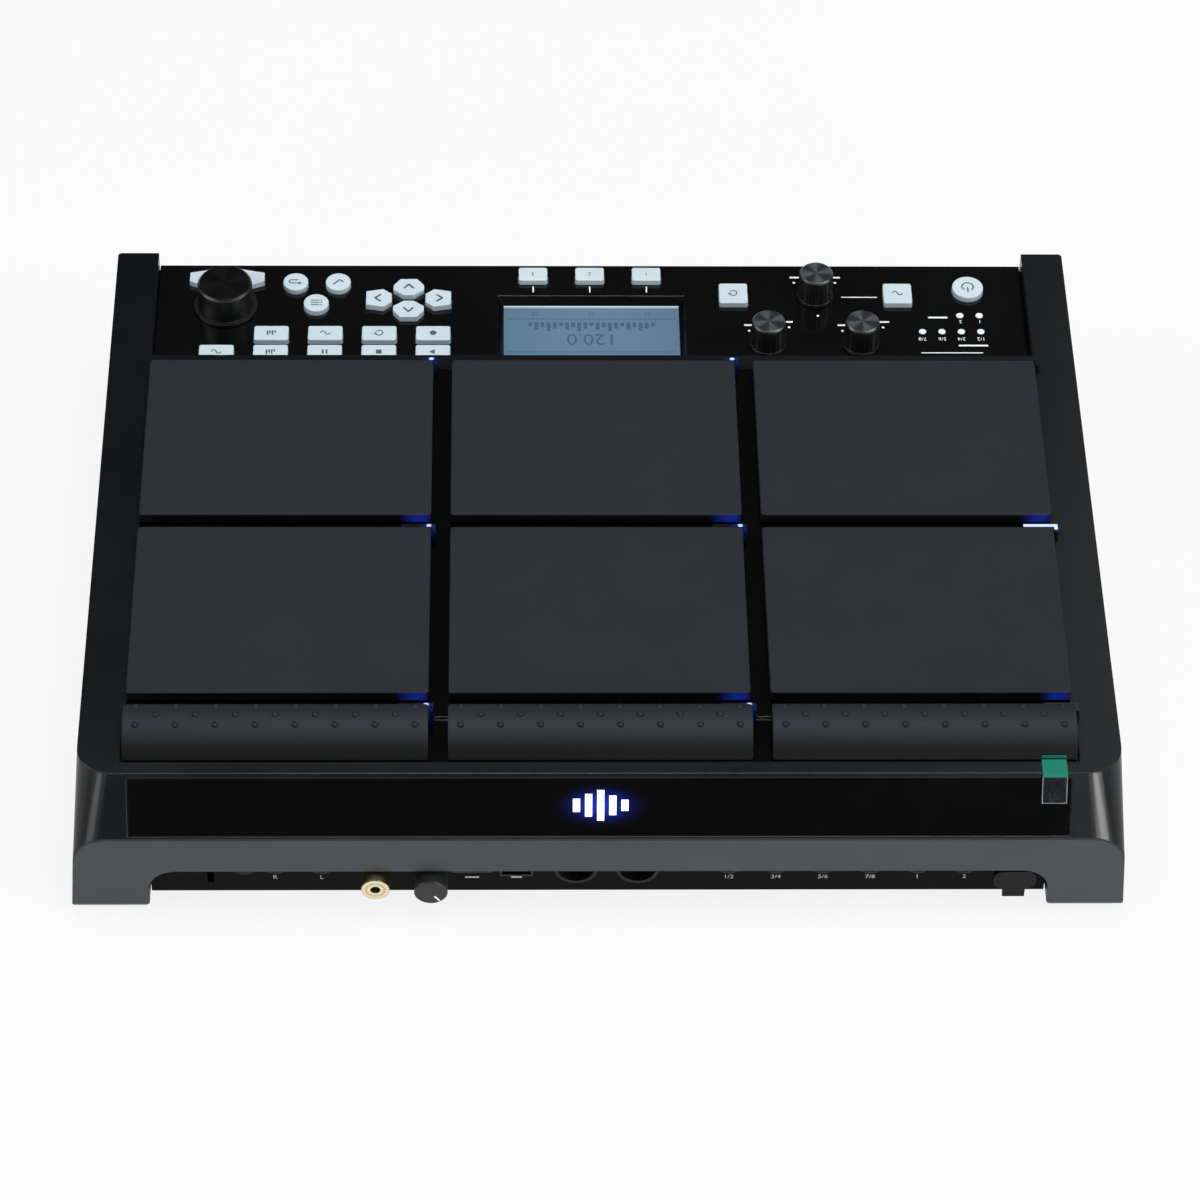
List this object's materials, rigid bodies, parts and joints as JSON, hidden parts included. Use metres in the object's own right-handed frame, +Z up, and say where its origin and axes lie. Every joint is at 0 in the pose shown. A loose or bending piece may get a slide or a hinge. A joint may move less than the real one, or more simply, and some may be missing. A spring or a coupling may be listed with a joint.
{
  "type": "sampling percussion pad",
  "caption": "Table-top electronic percussion pad with flat playing pads, ridge bars, a recessed control panel with keys, knobs, dial and display, and a rear jack bay.",
  "frame": {"origin": "centre of the bounding box at table height", "axes": "+X to the player's right, +Y from the player to the rear jacks, +Z up"},
  "size_m": [0.3802, 0.2862, 0.0704],
  "materials": {
    "case_black": "satin moulded black",
    "case_grey": "satin graphite grey",
    "panel_gloss": "glossy black sheet with printed marks",
    "strip_gloss": "glossy black sheet",
    "jack_plate": "matt black",
    "display": "backlit display under a clear cover",
    "bush_nylon": "natural black nylon",
    "piezo_brass": "bright disc",
    "light_pipe": "clear acrylic",
    "board_green": "solder resist",
    "switch_black": "moulded",
    "control_metal": "pressed can",
    "led_lens": "frosted lens",
    "socket_black": "moulded",
    "usb_metal": "plated shell",
    "hook_smoke": "smoky moulding",
    "adapter_gold": "gold plated",
    "foot_rubber": "matt",
    "screw_steel": "zinc plated",
    "pad_rubber": "fine matt grain",
    "bar_rubber": "fine matt grain",
    "key_white": "cool white",
    "knob_metal": "black with a spun metal top",
    "dial_black": "black with a spun metal top",
    "volume_grey": "grey with a white pointer line"
  },
  "bodies": {
    "case": {"top_case": "case_black", "base_pan": "case_grey", "control_panel": "panel_gloss", "rear_strip": "strip_gloss", "jack_panel": "jack_plate", "lcd_module": "display", "pad_bushes": "bush_nylon", "piezo_sensors": "piezo_brass", "led_light_pipes": "light_pipe", "main_board": "board_green", "panel_board": "board_green", "tact_switches": "switch_black", "rotary_controls": "control_metal", "indicator_leds": "led_lens", "phone_jacks": "socket_black", "midi_sockets": "socket_black", "usb_sockets": "usb_metal", "dc_inlet": "socket_black", "cord_hook": "hook_smoke", "phone_adapter": "adapter_gold", "rubber_feet": "foot_rubber", "screws": "screw_steel"},
    "pad_front_left_body": {"pad_front_left": "pad_rubber"},
    "pad_front_mid_body": {"pad_front_mid": "pad_rubber"},
    "pad_front_right_body": {"pad_front_right": "pad_rubber"},
    "pad_rear_left_body": {"pad_rear_left": "pad_rubber"},
    "pad_rear_mid_body": {"pad_rear_mid": "pad_rubber"},
    "pad_rear_right_body": {"pad_rear_right": "pad_rubber"},
    "bar_left_body": {"bar_left": "bar_rubber"},
    "bar_mid_body": {"bar_mid": "bar_rubber"},
    "bar_right_body": {"bar_right": "bar_rubber"},
    "dial_key_left_body": {"dial_key_left": "key_white"},
    "dial_key_right_body": {"dial_key_right": "key_white"},
    "round_key_left_body": {"round_key_left": "key_white"},
    "round_key_right_body": {"round_key_right": "key_white"},
    "round_key_rear_body": {"round_key_rear": "key_white"},
    "cursor_up_body": {"cursor_up": "key_white"},
    "cursor_down_body": {"cursor_down": "key_white"},
    "cursor_left_body": {"cursor_left": "key_white"},
    "cursor_right_body": {"cursor_right": "key_white"},
    "front_key_1_body": {"front_key_1": "key_white"},
    "front_key_2_body": {"front_key_2": "key_white"},
    "front_key_3_body": {"front_key_3": "key_white"},
    "front_key_4_body": {"front_key_4": "key_white"},
    "rear_key_1_body": {"rear_key_1": "key_white"},
    "rear_key_2_body": {"rear_key_2": "key_white"},
    "rear_key_3_body": {"rear_key_3": "key_white"},
    "rear_key_4_body": {"rear_key_4": "key_white"},
    "rear_key_5_body": {"rear_key_5": "key_white"},
    "function_key_1_body": {"function_key_1": "key_white"},
    "function_key_2_body": {"function_key_2": "key_white"},
    "function_key_3_body": {"function_key_3": "key_white"},
    "square_key_left_body": {"square_key_left": "key_white"},
    "square_key_right_body": {"square_key_right": "key_white"},
    "power_button_body": {"power_button": "key_white"},
    "effect_knob_left_body": {"effect_knob_left": "knob_metal"},
    "effect_knob_front_body": {"effect_knob_front": "knob_metal"},
    "effect_knob_right_body": {"effect_knob_right": "knob_metal"},
    "value_dial_body": {"value_dial": "dial_black"},
    "volume_knob_body": {"volume_knob": "volume_grey"}
  },
  "joints": [
    {"name": "pad_front_left_press", "type": "slide", "parent": "case", "child": "pad_front_left_body", "axis": [0, 0, -1], "range_m": [0, 0.0006], "stiffness_N_per_m": 20000},
    {"name": "pad_front_mid_press", "type": "slide", "parent": "case", "child": "pad_front_mid_body", "axis": [0, 0, -1], "range_m": [0, 0.0006], "stiffness_N_per_m": 20000},
    {"name": "pad_front_right_press", "type": "slide", "parent": "case", "child": "pad_front_right_body", "axis": [0, 0, -1], "range_m": [0, 0.0006], "stiffness_N_per_m": 20000},
    {"name": "pad_rear_left_press", "type": "slide", "parent": "case", "child": "pad_rear_left_body", "axis": [0, 0, -1], "range_m": [0, 0.0006], "stiffness_N_per_m": 20000},
    {"name": "pad_rear_mid_press", "type": "slide", "parent": "case", "child": "pad_rear_mid_body", "axis": [0, 0, -1], "range_m": [0, 0.0006], "stiffness_N_per_m": 20000},
    {"name": "pad_rear_right_press", "type": "slide", "parent": "case", "child": "pad_rear_right_body", "axis": [0, 0, -1], "range_m": [0, 0.0006], "stiffness_N_per_m": 20000},
    {"name": "bar_left_press", "type": "slide", "parent": "case", "child": "bar_left_body", "axis": [0, 0, -1], "range_m": [0, 0.0006], "stiffness_N_per_m": 15000},
    {"name": "bar_mid_press", "type": "slide", "parent": "case", "child": "bar_mid_body", "axis": [0, 0, -1], "range_m": [0, 0.0006], "stiffness_N_per_m": 15000},
    {"name": "bar_right_press", "type": "slide", "parent": "case", "child": "bar_right_body", "axis": [0, 0, -1], "range_m": [0, 0.0006], "stiffness_N_per_m": 15000},
    {"name": "dial_key_left_press", "type": "slide", "parent": "case", "child": "dial_key_left_body", "axis": [0, 0, -1], "range_m": [0, 0.0006], "stiffness_N_per_m": 900},
    {"name": "dial_key_right_press", "type": "slide", "parent": "case", "child": "dial_key_right_body", "axis": [0, 0, -1], "range_m": [0, 0.0006], "stiffness_N_per_m": 900},
    {"name": "round_key_left_press", "type": "slide", "parent": "case", "child": "round_key_left_body", "axis": [0, 0, -1], "range_m": [0, 0.0006], "stiffness_N_per_m": 900},
    {"name": "round_key_right_press", "type": "slide", "parent": "case", "child": "round_key_right_body", "axis": [0, 0, -1], "range_m": [0, 0.0006], "stiffness_N_per_m": 900},
    {"name": "round_key_rear_press", "type": "slide", "parent": "case", "child": "round_key_rear_body", "axis": [0, 0, -1], "range_m": [0, 0.0006], "stiffness_N_per_m": 900},
    {"name": "cursor_up_press", "type": "slide", "parent": "case", "child": "cursor_up_body", "axis": [0, 0, -1], "range_m": [0, 0.0006], "stiffness_N_per_m": 900},
    {"name": "cursor_down_press", "type": "slide", "parent": "case", "child": "cursor_down_body", "axis": [0, 0, -1], "range_m": [0, 0.0006], "stiffness_N_per_m": 900},
    {"name": "cursor_left_press", "type": "slide", "parent": "case", "child": "cursor_left_body", "axis": [0, 0, -1], "range_m": [0, 0.0006], "stiffness_N_per_m": 900},
    {"name": "cursor_right_press", "type": "slide", "parent": "case", "child": "cursor_right_body", "axis": [0, 0, -1], "range_m": [0, 0.0006], "stiffness_N_per_m": 900},
    {"name": "front_key_1_press", "type": "slide", "parent": "case", "child": "front_key_1_body", "axis": [0, 0, -1], "range_m": [0, 0.0006], "stiffness_N_per_m": 900},
    {"name": "front_key_2_press", "type": "slide", "parent": "case", "child": "front_key_2_body", "axis": [0, 0, -1], "range_m": [0, 0.0006], "stiffness_N_per_m": 900},
    {"name": "front_key_3_press", "type": "slide", "parent": "case", "child": "front_key_3_body", "axis": [0, 0, -1], "range_m": [0, 0.0006], "stiffness_N_per_m": 900},
    {"name": "front_key_4_press", "type": "slide", "parent": "case", "child": "front_key_4_body", "axis": [0, 0, -1], "range_m": [0, 0.0006], "stiffness_N_per_m": 900},
    {"name": "rear_key_1_press", "type": "slide", "parent": "case", "child": "rear_key_1_body", "axis": [0, 0, -1], "range_m": [0, 0.0006], "stiffness_N_per_m": 900},
    {"name": "rear_key_2_press", "type": "slide", "parent": "case", "child": "rear_key_2_body", "axis": [0, 0, -1], "range_m": [0, 0.0006], "stiffness_N_per_m": 900},
    {"name": "rear_key_3_press", "type": "slide", "parent": "case", "child": "rear_key_3_body", "axis": [0, 0, -1], "range_m": [0, 0.0006], "stiffness_N_per_m": 900},
    {"name": "rear_key_4_press", "type": "slide", "parent": "case", "child": "rear_key_4_body", "axis": [0, 0, -1], "range_m": [0, 0.0006], "stiffness_N_per_m": 900},
    {"name": "rear_key_5_press", "type": "slide", "parent": "case", "child": "rear_key_5_body", "axis": [0, 0, -1], "range_m": [0, 0.0006], "stiffness_N_per_m": 900},
    {"name": "function_key_1_press", "type": "slide", "parent": "case", "child": "function_key_1_body", "axis": [0, 0, -1], "range_m": [0, 0.0006], "stiffness_N_per_m": 900},
    {"name": "function_key_2_press", "type": "slide", "parent": "case", "child": "function_key_2_body", "axis": [0, 0, -1], "range_m": [0, 0.0006], "stiffness_N_per_m": 900},
    {"name": "function_key_3_press", "type": "slide", "parent": "case", "child": "function_key_3_body", "axis": [0, 0, -1], "range_m": [0, 0.0006], "stiffness_N_per_m": 900},
    {"name": "square_key_left_press", "type": "slide", "parent": "case", "child": "square_key_left_body", "axis": [0, 0, -1], "range_m": [0, 0.0006], "stiffness_N_per_m": 900},
    {"name": "square_key_right_press", "type": "slide", "parent": "case", "child": "square_key_right_body", "axis": [0, 0, -1], "range_m": [0, 0.0006], "stiffness_N_per_m": 900},
    {"name": "power_button_press", "type": "slide", "parent": "case", "child": "power_button_body", "axis": [0, 0, -1], "range_m": [0, 0.0006], "stiffness_N_per_m": 900},
    {"name": "effect_knob_left_turn", "type": "hinge", "parent": "case", "child": "effect_knob_left_body", "pos_m": [-0.10465, -0.0981, 0.0608], "axis": [0, 0, 1], "range_deg": [-150, 150]},
    {"name": "effect_knob_front_turn", "type": "hinge", "parent": "case", "child": "effect_knob_front_body", "pos_m": [-0.088, -0.1254, 0.0608], "axis": [0, 0, 1], "range_deg": [-150, 150]},
    {"name": "effect_knob_right_turn", "type": "hinge", "parent": "case", "child": "effect_knob_right_body", "pos_m": [-0.06835, -0.0981, 0.0608], "axis": [0, 0, 1], "range_deg": [-150, 150]},
    {"name": "value_dial_turn", "type": "hinge", "parent": "case", "child": "value_dial_body", "pos_m": [0.143, -0.1194, 0.0608], "axis": [0, 0, 1], "continuous": true},
    {"name": "volume_knob_turn", "type": "hinge", "parent": "case", "child": "volume_knob_body", "pos_m": [0.0606, 0.1394, 0.0129], "axis": [0, 1, 0], "range_deg": [-150, 150]}
  ]
}
